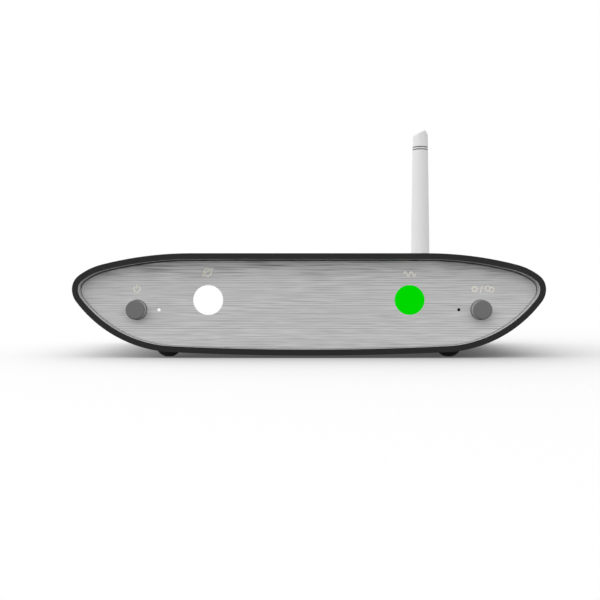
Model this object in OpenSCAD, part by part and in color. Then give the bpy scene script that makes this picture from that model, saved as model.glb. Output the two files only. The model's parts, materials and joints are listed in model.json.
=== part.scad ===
// Network music streamer: an extruded boat-shaped sleeve with a recessed brushed front panel, two
// push buttons, four status lights, a rear panel of sockets, a mode selector and a hinged antenna.
// Millimetres. +X is to the right seen from the front, +Y runs from front to rear, +Z is up.
// The origin is on the table, under the middle of the box round the whole object.

/* [Body] */
// Width over the two noses of the sleeve
body_w = 158; // [150:1:166]
// Height from the table to the top of the sleeve
body_h = 35; // [34:0.5:38]
// Depth of the sleeve
sleeve_d = 100; // [96:1:120]
// Wall of the extruded sleeve
wall = 2; // [1.6:0.1:2.4]
// Gap between the table and the lowest line of the sleeve
keel_gap = 0.9; // [0.6:0.1:1.4]

/* [Outline] */
// Height of the widest line above the table
nose_z = 23; // [22:0.5:24.5]
// Radius of the wide shoulder arc beside the flat top
shoulder_r = 120; // [100:5:140]
// Sweep of the shoulder arc in degrees
shoulder_sweep = 14.5; // [13:0.5:16]
// Radius of the cheek arc between shoulder and nose
cheek_r = 21; // [18:0.5:26]
// Radius of the nose above the widest line
nose_r = 5.7; // [5:0.1:7]
// Radius of the nose below the widest line
chin_r = 7; // [6:0.5:9]
// Radius of the flank that runs down to the underside
flank_r = 42; // [40:1:46]
// Slope of the underside where it meets the flank, in degrees
keel_angle = 2.8; // [2.5:0.1:3.2]
// How many times the wall is thicker than the gap between an arc of the outline and its chords
chord_fineness = 200; // [50:50:400]

/* [Front panel] */
// Distance of the panel behind the front edge of the sleeve
panel_recess = 3.6; // [2:0.2:5]
// Thickness of the brushed panel
panel_t = 2; // [1.6:0.1:3]
// Mean gap between the panel and the sleeve
panel_gap = 0.25; // [0.2:0.05:0.6]
// How far the panel lies below the middle of its opening, so that the gap is wider at the top
panel_drop = 0.15; // [0:0.05:0.15]
// Thickness of the moulded carrier plate behind the panel
carrier_t = 2; // [1.8:0.1:3]
// Gap between the carrier plate and the sleeve
carrier_gap = 0.2; // [0.1:0.05:0.4]
// Height of the posts that hold the control board
post_h = 6; // [5.6:0.1:8]
// Diameter of those posts
post_d = 4.4; // [3.8:0.2:5]
// Sideways distance of the posts from the pin-head lights
post_step = 5.6; // [5.2:0.1:6]
// Distance of each post from the top or bottom edge of the control board
post_edge = 2.4; // [2.2:0.1:3]

/* [Buttons] */
// Distance of each button's axis inside the sleeve's nose
button_inset = 21; // [20:0.5:22]
// Height of the button centres, and of the pin-head lights
button_z = 16.1; // [15:0.1:18]
// Diameter of a button cap
button_d = 6.5; // [5.5:0.1:7]
// How far a cap stands out of the panel
button_proud = 3.4; // [2.4:0.2:4.4]
// Travel of a button
button_travel = 0.8; // [0.4:0.1:1]
// Gap round a cap in the panel
button_gap = 0.2; // [0.15:0.05:0.3]
// Edge bevel of a cap
button_bevel = 0.35; // [0.2:0.05:0.6]
// How far the hidden flange stands out round a cap
button_flange = 1; // [0.8:0.1:1.2]
// Thickness of that flange
button_flange_t = 1.2; // [1:0.1:1.4]
// Width of a key switch
switch_w = 4.5; // [4:0.1:4.8]
// Depth of a key switch
switch_d = 3.4; // [3:0.1:3.8]
// Diameter of the switch plunger
plunger_d = 3.2; // [2.6:0.1:3.4]
// How far the plunger stands out of its switch
plunger_proud = 1.2; // [1.1:0.1:1.4]
// How deep the plunger sits in its switch
plunger_seat = 0.8; // [0.6:0.1:0.9]

/* [Status lights] */
// Sideways distance of the round lights from the pin-head lights
lens_step = 16.6; // [15:0.2:18]
// Height of the round lights
lens_z = 19.4; // [18.5:0.1:20]
// Diameter of a round light
lens_d = 10; // [8:0.5:11]
// How far the flange of a light stands out round it
lens_flange = 1; // [0.8:0.1:1.2]
// Thickness of that flange
lens_flange_t = 1; // [0.8:0.1:1.2]
// How much narrower the light pipe is than its light
pipe_step = 2; // [1:0.2:3]
// Sideways distance of the pin-head lights from the buttons
dot_step = 7.4; // [7:0.1:8]
// Diameter of a pin-head light
dot_d = 0.95; // [0.8:0.05:1.4]
// How far the flange of a pin-head light stands out round it
dot_flange = 0.7; // [0.5:0.1:0.8]
// Thickness of that flange
dot_flange_t = 0.8; // [0.6:0.1:1]
// How far the pipe of a pin-head light stands out round it
dot_pipe = 0.3; // [0.2:0.05:0.4]
// Width of the lamp chip behind a round light
lamp_w = 5; // [4:0.1:5.6]
// Thickness of that chip
lamp_t = 1; // [0.8:0.1:1.4]
// Width of the lamp chip behind a pin-head light
dot_lamp_w = 1.6; // [1.2:0.1:1.8]
// Thickness of that chip
dot_lamp_t = 0.8; // [0.6:0.1:1]

/* [Boards] */
// Height of the underside of the main board
board_z = 9.6; // [9.5:0.1:10.2]
// Thickness of both circuit boards
board_t = 1.6; // [1.2:0.1:2]
// Gap round the edges of the main board in its guides
guide_gap = 0.2; // [0.1:0.05:0.3]
// Thickness of a guide rib
guide_t = 1.4; // [1:0.1:1.8]
// How far the guide ribs reach over the edge of the main board
guide_reach = 3; // [2:0.1:3.4]
// Gap between the control board and the main board
board_step = 2.3; // [2:0.1:4]
// Gap between the main board and the rear panel
board_back = 0.4; // [0.2:0.1:1]
// Height of the control board's lower edge
control_z = 10.4; // [10.2:0.1:10.8]
// Height of the control board
control_h = 15; // [14.6:0.1:15.4]
// Margin of the control board beside the key switches
control_edge = 0.6; // [0.4:0.1:1]
// Number of pins that link the two boards
link_pins = 10; // [4:1:16]
// Spacing of those pins
link_pitch = 2.54; // [2:0.01:2.54]
// Thickness of a square pin
link_pin = 0.64; // [0.5:0.02:0.7]
// Height and depth of the pin strip
link_body = 2.5; // [2.2:0.1:3]
// How far the pins stand out in front of the control board
link_tail = 1; // [0.6:0.1:1.6]

/* [Board parts] */
// Width of the processor
cpu_w = 17; // [14:0.5:20]
// Thickness of the processor
cpu_t = 1.6; // [1.2:0.1:2.4]
// Width of the heat sink
sink_w = 28; // [24:1:30]
// Height of the heat sink
sink_h = 9; // [6:0.5:12]
// Thickness of its base
sink_base = 2; // [1.5:0.1:3]
// Number of fins
sink_fins = 9; // [5:1:11]
// Thickness of a fin
sink_fin = 1.2; // [0.8:0.1:1.6]
// Sideways gap between the heat sink and the memory chips
memory_gap = 5; // [4:0.5:8]
// Gap between the memory chips and the power coils behind them
memory_back = 2; // [1:0.5:4]
// Width of a memory chip
memory_w = 8; // [7:0.5:9]
// Length of a memory chip
memory_l = 12; // [10:0.5:14]
// Thickness of a memory chip
memory_t = 1.1; // [0.8:0.1:1.4]
// Diameter of a storage capacitor
cap_d = 8; // [6:0.5:8.5]
// Height of a storage capacitor
cap_h = 11.5; // [8:0.5:14]
// Spacing of the capacitors and of the coils beside them
cap_pitch = 11; // [10:0.5:12]
// Gap between the board guide and the outermost capacitor
cap_edge = 6; // [4:0.5:8]
// Gap between the capacitors and the power inlet behind them
cap_back = 6; // [4:0.5:8]
// Width of a power coil
coil_w = 8; // [6:0.5:9]
// Height of a power coil
coil_h = 4.2; // [3:0.2:6]
// Width of a clock can
clock_w = 5; // [4:0.2:6]
// Depth of a clock can
clock_l = 3.2; // [2.5:0.1:4]
// Height of a clock can
clock_h = 1.3; // [0.8:0.1:2]
// Place of the clock cans, from the middle
clock_x = 8; // [5:0.5:10]
// Gap between the clock cans and the USB sockets behind them
clock_back = 8; // [6:0.5:10]

/* [Rear panel] */
// Distance of the rear panel inside the sleeve's rear edge
rear_recess = 1; // [0.6:0.1:2]
// Thickness of the rear panel
rear_t = 1.6; // [1.2:0.1:2]
// Gap between the rear panel and the sleeve
rear_gap = 0.25; // [0.15:0.05:0.4]
// How far the sockets stand out of the rear panel
mouth_proud = 0.3; // [0.1:0.1:0.6]
// Gap round each socket in the rear panel
mouth_gap = 0.3; // [0.2:0.05:0.4]

/* [Screws] */
// Sideways place of the four screw ports in the sleeve
port_x = 36; // [34:0.5:38]
// Outer diameter of a screw port
port_d = 5.6; // [5:0.1:5.8]
// How deep a port merges into the sleeve wall
port_merge = 0.4; // [0.3:0.05:0.6]
// Diameter of the case screws
screw_d = 2.5; // [2:0.1:3]
// Diameter of a case screw's head
screw_head_d = 4.8; // [4.2:0.1:5.2]
// Thickness of that head
screw_head_t = 1.4; // [1:0.1:1.6]
// How deep the case screws reach into their ports
screw_len = 8; // [6:0.5:12]
// Width of the hexagon drive over its corners
drive_d = 2.3; // [1.8:0.1:2.6]
// Depth of the hexagon drive
drive_depth = 0.9; // [0.6:0.1:1]
// Diameter of the control board's screws
small_screw_d = 1.6; // [1.4:0.1:2]
// Diameter of their heads
small_head_d = 3.2; // [2.8:0.1:3.6]
// Thickness of their heads
small_head_t = 1.1; // [0.8:0.1:1.4]
// How deep they reach into the posts
small_screw_len = 5; // [4:0.5:5.5]

/* [Network socket] */
// Width over the metal shield
jack_w = 16; // [15.6:0.1:16.4]
// Height over the metal shield
jack_h = 13.4; // [13.2:0.1:14]
// Depth of the shield
jack_d = 21; // [19:0.5:22]
// Thickness of the shield
shield_t = 0.4; // [0.3:0.05:0.5]
// Width of the plug bay
bay_w = 12; // [11.8:0.1:12.4]
// Height of the plug bay
bay_h = 7; // [6.8:0.1:7.4]
// Depth of the plug bay
bay_d = 13; // [12:0.5:14]
// Height of the bay's floor above the latch slot
latch_h = 2.6; // [2.2:0.1:2.8]
// Width of the latch slot
latch_w = 6; // [5:0.1:6.6]
// Thickness of the plastic under the latch slot
sill_t = 1.2; // [1:0.1:1.4]
// Number of spring contacts
jack_contacts = 8; // [4:1:8]
// Spacing of the contacts
jack_pitch = 1.02; // [0.9:0.01:1.1]
// Thickness of a contact
jack_contact = 0.4; // [0.3:0.05:0.5]
// Length of a contact
jack_contact_l = 9; // [7:0.5:10]
// How far a contact's tip hangs below the bay's roof
jack_contact_drop = 1.8; // [1.4:0.1:2]

/* [USB sockets] */
// Width over a shell
usb_w = 13.2; // [13:0.1:13.6]
// Height over a shell
usb_h = 5.8; // [5.6:0.1:6.2]
// Depth of a shell
usb_d = 17.5; // [16:0.5:19]
// Thickness of a shell
usb_wall = 0.35; // [0.3:0.05:0.45]
// Width of the contact tongue
tongue_w = 11.1; // [10.5:0.1:11.4]
// Thickness of the contact tongue
tongue_t = 1.8; // [1.6:0.1:2]
// Gap between the tongue and the shell's roof
tongue_drop = 0.7; // [0.5:0.05:0.9]
// How far the tongue ends inside the mouth
tongue_back = 1.2; // [0.8:0.1:2]
// Depth of the block that carries the tongue
tongue_block = 3; // [2:0.5:5]
// Contacts on each tongue
usb_contacts_n = 4; // [4:1:5]
// Spacing of those contacts
usb_contact_pitch = 2.3; // [2:0.1:2.4]
// Width of such a contact
usb_contact_w = 1.1; // [0.8:0.1:1.3]
// Thickness of such a contact
usb_contact_t = 0.15; // [0.1:0.05:0.25]

/* [Coaxial output] */
// Height of the coaxial socket's axis above the main board
coax_rise = 6.6; // [6.2:0.1:7]
// Width of its moulded block
coax_block_w = 10.4; // [10:0.1:11]
// Height of the block above the axis
coax_crown = 5; // [4.6:0.1:5.6]
// Depth of the block
coax_block_d = 11.6; // [10:0.2:13]
// Diameter of the ground barrel
barrel_d = 8.3; // [8:0.1:8.4]
// Wall of the barrel
barrel_wall = 0.6; // [0.5:0.05:0.8]
// How far the barrel stands out of the rear panel
barrel_len = 9.4; // [8:0.2:10]
// How deep the barrel sits in its block
barrel_seat = 4; // [3:0.2:5]
// How far the insulator ends inside the barrel
core_back = 0.8; // [0.4:0.1:1.2]
// Diameter of the centre contact
contact_d = 4.2; // [4:0.1:4.6]
// Bore of the centre contact
contact_bore = 3.3; // [3.1:0.1:3.4]
// Depth of that bore
contact_depth = 9; // [8:0.5:9.5]

/* [Mode selector] */
// Height of the selector's axis above the main board
mode_rise = 6.6; // [6.2:0.1:7.2]
// Width and height of the switch block
mode_block = 11; // [10:0.2:12]
// Depth of the switch block
mode_block_d = 7; // [6:0.2:9]
// Gap between the switch block and the rear panel
mode_block_gap = 0.2; // [0.1:0.1:0.5]
// Diameter of the knob
knob_d = 8.6; // [7.6:0.2:9]
// Gap round the knob in the rear panel
knob_gap = 0.3; // [0.25:0.05:0.5]
// How far the knob's face stands out of the rear panel
knob_proud = 1; // [0.6:0.1:1.6]
// How far the knob's rim reaches into the panel's hole
knob_sunk = 0.8; // [0.5:0.1:1]
// Height of the grip bar on the knob
grip_h = 1.6; // [1:0.1:2.4]
// Thickness of the grip bar
grip_w = 2.2; // [1.6:0.1:3]
// Width of the pointer groove in the grip bar
pointer_w = 0.7; // [0.5:0.1:1]
// Depth of the pointer groove
pointer_depth = 0.5; // [0.3:0.1:0.8]
// Diameter of the selector shaft
shaft_d = 3; // [2.6:0.1:4]
// How deep the shaft sits in the switch block
shaft_seat = 4.5; // [3:0.5:5]

/* [Power inlet] */
// Gap between the inlet block and the board guide
dc_edge = 1.2; // [0.6:0.1:2]
// Width of the inlet block
dc_w = 9; // [8.6:0.1:9.4]
// Depth of the inlet block
dc_d = 14.2; // [13:0.2:15]
// Height of the inlet's axis above the main board
dc_rise = 6.5; // [6:0.1:7]
// Height of the block above the axis
dc_crown = 4.5; // [4.2:0.1:5]
// Diameter of the round nose in the rear panel
dc_nose_d = 7.8; // [7.6:0.1:8.4]
// Bore of the inlet
dc_bore = 6.4; // [6:0.1:6.6]
// Depth of the bore, from the rear panel's face
dc_depth = 10.5; // [9.5:0.5:12]
// Diameter of the centre pin
dc_pin_d = 2; // [1.8:0.1:2.5]
// How far the pin ends inside the mouth
dc_pin_back = 1; // [0.6:0.1:2]

/* [Reset button] */
// Width of the switch behind the reset button
reset_w = 5; // [4.4:0.1:5.4]
// Height of that switch
reset_h = 4; // [3.6:0.1:4.4]
// Depth of that switch
reset_d = 3.6; // [3:0.1:5]
// Gap between the switch and the rear panel
reset_back = 0.8; // [0.5:0.1:1]
// Diameter of the button
reset_button_d = 1.8; // [1.4:0.1:2.2]
// How far the button ends below the rear panel's face
reset_sunk = 0.4; // [0.2:0.1:0.6]
// Travel of the button
reset_travel = 0.4; // [0.2:0.1:0.6]
// How deep the button sits in its switch
reset_seat = 1; // [0.8:0.1:1.4]

/* [Antenna socket] */
// Distance of the antenna inside the sleeve's nose
antenna_inset = 25; // [25:0.5:27]
// Height of the antenna socket
antenna_z = 17.5; // [17.2:0.1:19]
// Diameter of the socket barrel
socket_d = 6.3; // [6:0.1:6.5]
// Width over the flats of the hexagons on the socket
hex_w = 8; // [7.6:0.1:8.6]
// Thickness of the flange inside the rear panel
socket_flange_t = 2; // [1.5:0.1:3]
// Diameter of the crimp tube
crimp_d = 3.2; // [2.6:0.1:4]
// Length of the crimp tube
crimp_len = 7.4; // [6:0.2:9]
// Diameter of the washer
washer_d = 9.8; // [9.4:0.1:11]
// Thickness of the washer
washer_t = 0.5; // [0.4:0.1:0.8]
// Thickness of the lock nut
lock_nut_t = 2; // [1.6:0.1:2.6]
// Diameter of the thin coaxial lead inside
lead_d = 1.3; // [1:0.1:1.6]
// Straight length of that lead behind the crimp tube
lead_run = 7.4; // [6:0.2:9]
// Diameter of the plug on the wireless module
plug_d = 2.8; // [2.4:0.1:3.2]
// Height of that plug
plug_h = 1.4; // [1.2:0.1:1.8]
// Width of the wireless module
radio_w = 13; // [12:0.5:13]
// Length of the wireless module
radio_l = 18; // [17:0.5:20]
// Thickness of the wireless module
radio_t = 0.8; // [0.6:0.1:1.2]
// Distance of the plug from the module's rear edge
radio_edge = 2.5; // [2:0.1:3]
// Margin of the shield can on the module
can_edge = 1; // [0.6:0.1:1.4]
// Height of the shield can
can_h = 1.8; // [1.4:0.1:2.4]

/* [Antenna] */
// Gap between the lock nut and the coupling nut
coupling_gap = 0.3; // [0.2:0.1:0.6]
// Length of the coupling nut
coupling_len = 8.6; // [8:0.2:10]
// Thickness of the lip that holds the swivel
coupling_lip = 1; // [0.8:0.1:1.4]
// Diameter of the swivel neck
swivel_d = 5; // [4.6:0.1:5.2]
// How far the swivel's flange stands out round the neck
swivel_flange = 0.5; // [0.4:0.05:0.55]
// Thickness of the swivel's flange
swivel_flange_t = 0.7; // [0.5:0.1:0.9]
// Diameter of the knuckle
knuckle_d = 9.4; // [9.2:0.1:10]
// Length of the knuckle before its slot
knuckle_len = 2; // [1.5:0.1:3]
// Width of the knuckle over the flats round its hinge pin
hinge_w = 8.6; // [8.2:0.1:8.8]
// Thickness of the mast's hinge tongue
hinge_t = 4; // [3:0.1:4.4]
// Gap on each side of the tongue
hinge_gap = 0.15; // [0.1:0.05:0.25]
// Running gap between knuckle and mast
hinge_air = 0.3; // [0.3:0.05:0.5]
// Diameter of the hinge pin
pin_d = 2.4; // [2:0.1:3]
// Distance from the hinge pin to the tip
mast_len = 81.8; // [60:1:110]
// Diameter at the foot of the mast
mast_d0 = 9.2; // [8.8:0.1:9.4]
// Diameter at the tip of the mast
mast_d1 = 7.1; // [6.4:0.1:8]
// Slope of the slanted tip in degrees
tip_slope = 26; // [15:1:35]
// Slope of the short side of the tip, beyond its ridge, in degrees
tip_fall = 50; // [35:1:60]
// Distance of the tip's ridge from the mast's axis
tip_ridge = 1.7; // [1:0.1:2]
// Rounding of the tip's ridge
tip_r = 0.5; // [0.3:0.1:2.4]
// Distance of the upper ring groove below the tip
groove_drop = 7.75; // [6:0.05:12]
// Distance between the two ring grooves
groove_pitch = 1.1; // [0.9:0.1:2]
// Width of a ring groove
groove_w = 0.45; // [0.3:0.05:0.6]
// Depth of a ring groove
groove_depth = 0.3; // [0.2:0.05:0.4]

/* [Feet] */
// Sideways place of the feet
foot_x = 48.2; // [44:0.2:52]
// Distance of the feet from the front and rear edges
foot_inset = 10; // [8:0.5:20]
// Dome radius of a foot
foot_r = 4.7; // [4:0.1:6]
// Diameter of the worn flat that meets the table
foot_flat_d = 2.4; // [1.6:0.1:3]

/* [Clearances] */
// Radial gap of pieces that stay put in their holes
fit_gap = 0.05; // [0.03:0.01:0.1]
// Radial gap of pieces that slide or turn
run_gap = 0.08; // [0.05:0.01:0.1]
// Gap at pieces that are trapped loosely
seat_gap = 0.15; // [0.1:0.05:0.2]
// How far a cutting shape runs past a face
cut = 1; // [0.5:0.5:2]

/* [Hidden] */
$fn = 48;

// Colours
coat_black = [0.16, 0.16, 0.17];
brushed_silver = [0.73, 0.73, 0.73];
moulded_black = [0.10, 0.10, 0.10];
button_grey = [0.42, 0.42, 0.42];
rubber_black = [0.08, 0.08, 0.08];
steel = [0.62, 0.63, 0.65];
gold = [0.83, 0.68, 0.34];
board_green = [0.06, 0.28, 0.16];
chip_black = [0.12, 0.12, 0.13];
lamp_white = [1, 1, 1];
lamp_green = [0, 0.84, 0];
lamp_off = [0.15, 0.15, 0.15];
tongue_blue = [0.10, 0.25, 0.60];
antenna_white = [0.86, 0.86, 0.86];

// Arcs of the right half of the outline, from the flat top clockwise to the middle of the
// underside. Angles are those of the outward normal, measured from straight up.
half_w = body_w / 2;
crown_h = body_h - nose_z;
keel_h = nose_z - keel_gap;
shoulder_drop = shoulder_r * (1 - cos(shoulder_sweep));
cheek_end = acos((shoulder_drop + cheek_r * cos(shoulder_sweep) - crown_h) / (cheek_r - nose_r));
shoulder_run = shoulder_r * sin(shoulder_sweep) + cheek_r * (sin(cheek_end) - sin(shoulder_sweep))
    + nose_r * (1 - sin(cheek_end));
flat_half = half_w - shoulder_run;
keel_slope = tan(keel_angle / 2);
keel_lift = keel_slope * (half_w + flank_r * sin(keel_angle) - chin_r);
flank_start = keel_angle / 2 + acos(cos(keel_angle / 2)
    * (keel_lift + flank_r * cos(keel_angle) - keel_h) / (flank_r - chin_r));
keel_half = half_w - flank_r * (sin(flank_start) - sin(keel_angle)) - chin_r * (1 - sin(flank_start));
keel_r = keel_half / sin(keel_angle);
chord_error = wall / chord_fineness;

shoulder_c = [flat_half, body_h - shoulder_r];
cheek_c = shoulder_c + (shoulder_r - cheek_r) * normal(shoulder_sweep);
nose_c = [half_w - nose_r, nose_z];
chin_c = [half_w - chin_r, nose_z];
flank_c = chin_c - (flank_r - chin_r) * normal(180 - flank_start);
keel_c = [0, keel_gap + keel_r];

// Each arc: centre, radius, first angle, last angle
outline_arcs = [
    [shoulder_c, shoulder_r, 0, shoulder_sweep],
    [cheek_c, cheek_r, shoulder_sweep, cheek_end],
    [nose_c, nose_r, cheek_end, 90],
    [chin_c, chin_r, 90, 180 - flank_start],
    [flank_c, flank_r, 180 - flank_start, 180 - keel_angle],
    [keel_c, keel_r, 180 - keel_angle, 180],
];

// Places along the depth, from the front edge of the sleeve
panel_y = panel_recess;
carrier_y = panel_y + panel_t;
port_y = carrier_y + carrier_t;
control_y = port_y + post_h;
board_y = control_y + board_t + board_step;
rear_y = sleeve_d - rear_recess;
rear_panel_y = rear_y - rear_t;
board_end_y = rear_panel_y - board_back;
mouth_y = rear_y + mouth_proud;

// Places across and up
board_top = board_z + board_t;
board_half = flank_x(board_z, wall) - guide_gap;
guide_x = board_half - guide_reach;
button_x = half_w - button_inset;
dot_x = button_x - dot_step;
lens_x = dot_x - lens_step;
post_x = dot_x - post_step;
control_half = button_x + switch_w / 2 + control_edge;
port_low_z = keel_z(port_x) + wall + port_d / 2 - port_merge;
port_high_z = body_h - wall - port_d / 2 + port_merge;
ports = [for (x = [-port_x, port_x], z = [port_low_z, port_high_z]) [x, z]];
post_zs = [control_z + post_edge, control_z + control_h - post_edge];
posts = [for (x = [-post_x, post_x], z = post_zs) [x, z]];
link_z = board_top + link_body / 2;
link_xs = [for (i = [0 : link_pins - 1]) (i - (link_pins - 1) / 2) * link_pitch];
bay_body_w = jack_w - 2 * shield_t;
bay_body_h = jack_h - 2 * shield_t;
antenna_at = [half_w - antenna_inset, antenna_z];

// Row along the rear panel, evenly spread from the left board guide to the antenna's washer:
// power inlet, mode selector, coaxial output, two USB sockets, network socket, reset switch
row_w = [dc_w, mode_block, coax_block_w, usb_w, usb_w, jack_w, reset_w];
row_start = dc_edge - guide_x;
row_end = antenna_at.x - washer_d / 2;
row_gap = (row_end - row_start - total(row_w, len(row_w))) / len(row_w);
dc_at = [row_x(0), board_top + dc_rise];
mode_at = [row_x(1), board_top + mode_rise];
coax_at = [row_x(2), board_top + coax_rise];
usb_xs = [row_x(3), row_x(4)];
jack_x = row_x(5);
reset_at = [row_x(6), board_top + reset_h / 2];

// Buttons and switches along the depth
plunger_y = control_y - switch_d - plunger_proud;
plunger_end_y = control_y - switch_d + plunger_seat;
plunger_stop_y = plunger_end_y + button_travel + seat_gap;
button_flange_y = carrier_y + seat_gap;
reset_switch_y = rear_panel_y - reset_back - reset_d;
reset_in_y = rear_panel_y - reset_back - reset_seat;
mode_y = rear_panel_y - mode_block_gap;
grip_y = rear_y + knob_proud + grip_h;
core_y = rear_y + barrel_len - core_back;

// Parts on the main board, set out from the sockets behind them
cap_x = guide_x - cap_edge - cap_d / 2;
cap_y = rear_panel_y - dc_d - cap_back - cap_d / 2 - cap_pitch;
cpu_y = cap_y - coil_w / 2 - memory_back - memory_l / 2;
memory_x = sink_w / 2 + memory_gap + memory_w / 2;
clock_y = mouth_y - usb_d - clock_back - clock_l / 2;

// Antenna along the depth, from the front edge of the sleeve
crimp_y = rear_panel_y - socket_flange_t - crimp_len;
lead_bend_y = crimp_y - lead_run;
lead_bend = antenna_z - (board_top + radio_t + plug_h);
plug_y = lead_bend_y - lead_bend;
radio_y = plug_y + radio_edge - radio_l;
can_l = radio_l - 2 * radio_edge - plug_d / 2 - can_edge;
lock_nut_y = rear_y + washer_t;
coupling_y = lock_nut_y + lock_nut_t + coupling_gap;
coupling_end_y = coupling_y + coupling_len;
swivel_y = coupling_end_y - coupling_lip - swivel_flange_t - seat_gap;
knuckle_y = coupling_end_y + hinge_air;
hinge_r = knuckle_d / 2 - hinge_gap;
pin_y = knuckle_y + knuckle_len + knuckle_d / 2 + hinge_air;
fork_r = knuckle_d / 2 + hinge_gap;
mast_foot = fork_r + hinge_air;

// The whole object is centred front to back, from the sleeve's front edge to the fork
front_y = -(pin_y + fork_r) / 2;
foot_c = sqrt(pow(foot_r, 2) - pow(foot_flat_d / 2, 2));
arc_steps = 10;

function normal(a) = [sin(a), cos(a)];

function chords(r, sweep) = max(2, ceil(sweep / (2 * acos(1 - chord_error / r))));

// Points of one arc, without its first point where an earlier arc already ends there
function arc_points(arc, inset, first) = let (n = chords(arc[1], arc[3] - arc[2]))
    [for (i = [first : n]) arc[0] + (arc[1] - inset) * normal(arc[2] + (arc[3] - arc[2]) * i / n)];

function half_outline(inset) = [
    for (k = [0 : len(outline_arcs) - 1]) each arc_points(outline_arcs[k], inset, k == 0 ? 0 : 1)
];

// Half width of the flank at height z, and height of the underside at x
function flank_x(z, inset) = flank_c.x + sqrt(pow(flank_r - inset, 2) - pow(z - flank_c.y, 2));
function keel_z(x) = keel_c.y - sqrt(pow(keel_r, 2) - x * x);

// Sum of the first n widths, and the middle of place i in the row along the rear panel
function total(widths, n) = n == 0 ? 0 : widths[n - 1] + total(widths, n - 1);
function row_x(i) = row_start + total(row_w, i) + i * row_gap + row_w[i] / 2;

function mast_r(z) = (mast_d0 + (mast_d1 - mast_d0) * (z - mast_foot) / (mast_len - mast_foot)) / 2;

// Parallel outline of the sleeve, moved inwards
module outline(inset) {
    half = half_outline(inset);
    polygon(concat(half, [for (i = [len(half) - 2 : -1 : 0]) [-half[i].x, half[i].y]]));
}

// Stretches a front view along the depth
module depth(from, to) translate([0, to, 0]) rotate([90, 0, 0]) linear_extrude(to - from) children();

// Moves pieces to a place in the front view
module at(place) translate([place.x, 0, place.y]) children();

module rod(d, from, to) translate([0, to, 0]) rotate([90, 0, 0]) cylinder(d = d, h = to - from);

module hex_rod(w, from, to) translate([0, to, 0]) rotate([90, 0, 0])
    cylinder(d = w / cos(30), h = to - from, $fn = 6);

// Box centred on x, from y0 to y1, standing on z0
module block(w, y0, y1, z0, h) translate([-w / 2, y0, z0]) cube([w, y1 - y0, h]);

// Box centred on x and z
module bar(w, h, from, to) block(w, from, to, -h / 2, h);

module inside_wall() intersection() {
    outline(wall / 2);
    children();
}

module board_guides() for (side = [0, 1], z = [board_z - guide_gap - guide_t, board_top + guide_gap])
    mirror([side, 0])
        translate([guide_x, z])
            square([half_w - guide_x, guide_t]);

module outer_sleeve() color(coat_black) difference() {
    union() {
        depth(0, sleeve_d) difference() {
            outline(0);
            outline(wall);
        }
        depth(port_y, rear_panel_y) inside_wall()
            for (p = ports) translate(p) circle(d = port_d);
        depth(board_y, rear_panel_y) inside_wall() board_guides();
    }
    for (p = ports) at(p) rod(screw_d + 2 * fit_gap, port_y - cut, rear_panel_y + cut);
}

module front_panel() color(brushed_silver) depth(panel_y, carrier_y) difference() {
    translate([0, -panel_drop]) outline(wall + panel_gap);
    for (side = [-1, 1]) {
        translate([side * lens_x, lens_z]) circle(d = lens_d + 2 * fit_gap);
        translate([side * button_x, button_z]) circle(d = button_d + 2 * button_gap);
        translate([side * dot_x, button_z]) circle(d = dot_d + 2 * fit_gap);
    }
}

// Stepped hole for a light: a seat for its flange, then its pipe
module light_hole(flange_d, flange_t, pipe_d) {
    rod(flange_d + 2 * seat_gap, carrier_y - cut, carrier_y + flange_t + seat_gap);
    rod(pipe_d + 2 * seat_gap, carrier_y - cut, port_y + cut);
}

module front_carrier() color(moulded_black) difference() {
    union() {
        depth(carrier_y, port_y) outline(wall + carrier_gap);
        for (p = posts) at(p) rod(post_d, carrier_y + carrier_t / 2, control_y);
    }
    for (side = [-1, 1]) {
        at([side * lens_x, lens_z])
            light_hole(lens_d + 2 * lens_flange, lens_flange_t, lens_d - pipe_step);
        at([side * dot_x, button_z])
            light_hole(dot_d + 2 * dot_flange, dot_flange_t, dot_d + 2 * dot_pipe);
        at([side * button_x, button_z])
            rod(button_d + 2 * (button_flange + button_gap), carrier_y - cut, port_y + cut);
    }
    for (p = ports) at(p) {
        rod(screw_d + 2 * seat_gap, carrier_y - cut, port_y + cut);
        rod(screw_head_d + 2 * seat_gap, carrier_y - cut, carrier_y + screw_head_t);
    }
    for (p = posts) at(p)
        rod(small_screw_d + 2 * fit_gap, control_y - small_screw_len - seat_gap, control_y + cut);
}

// Case screw whose head lies against the face at y, with its shank along +Y or -Y
module case_screw() difference() {
    union() {
        rod(screw_head_d, -screw_head_t, 0);
        rod(screw_d, -screw_head_t / 2, screw_len);
    }
    translate([0, drive_depth - screw_head_t, 0]) rotate([90, 0, 0])
        cylinder(d = drive_d, h = screw_head_t, $fn = 6);
}

module carrier_screws() color(steel)
    for (p = ports) at(p) translate([0, carrier_y + screw_head_t, 0]) case_screw();

module rear_screws() color(steel)
    for (p = ports) at(p) translate([0, rear_y, 0]) mirror([0, 1, 0]) case_screw();

module rear_panel() color(moulded_black) depth(rear_panel_y, rear_y) difference() {
    outline(wall + rear_gap);
    for (p = ports) translate(p) circle(d = screw_d + 2 * seat_gap);
    translate([jack_x, board_top + jack_h / 2])
        square([jack_w, jack_h] + 2 * mouth_gap * [1, 1], center = true);
    for (x = usb_xs) translate([x, board_top + usb_h / 2])
        square([usb_w, usb_h] + 2 * mouth_gap * [1, 1], center = true);
    translate(coax_at) circle(d = barrel_d + 2 * mouth_gap);
    translate(mode_at) circle(d = knob_d + 2 * knob_gap);
    translate(dc_at) circle(d = dc_nose_d + 2 * fit_gap);
    translate(reset_at) circle(d = reset_button_d + 2 * mouth_gap);
    translate(antenna_at) circle(d = socket_d + 2 * fit_gap);
}

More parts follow.
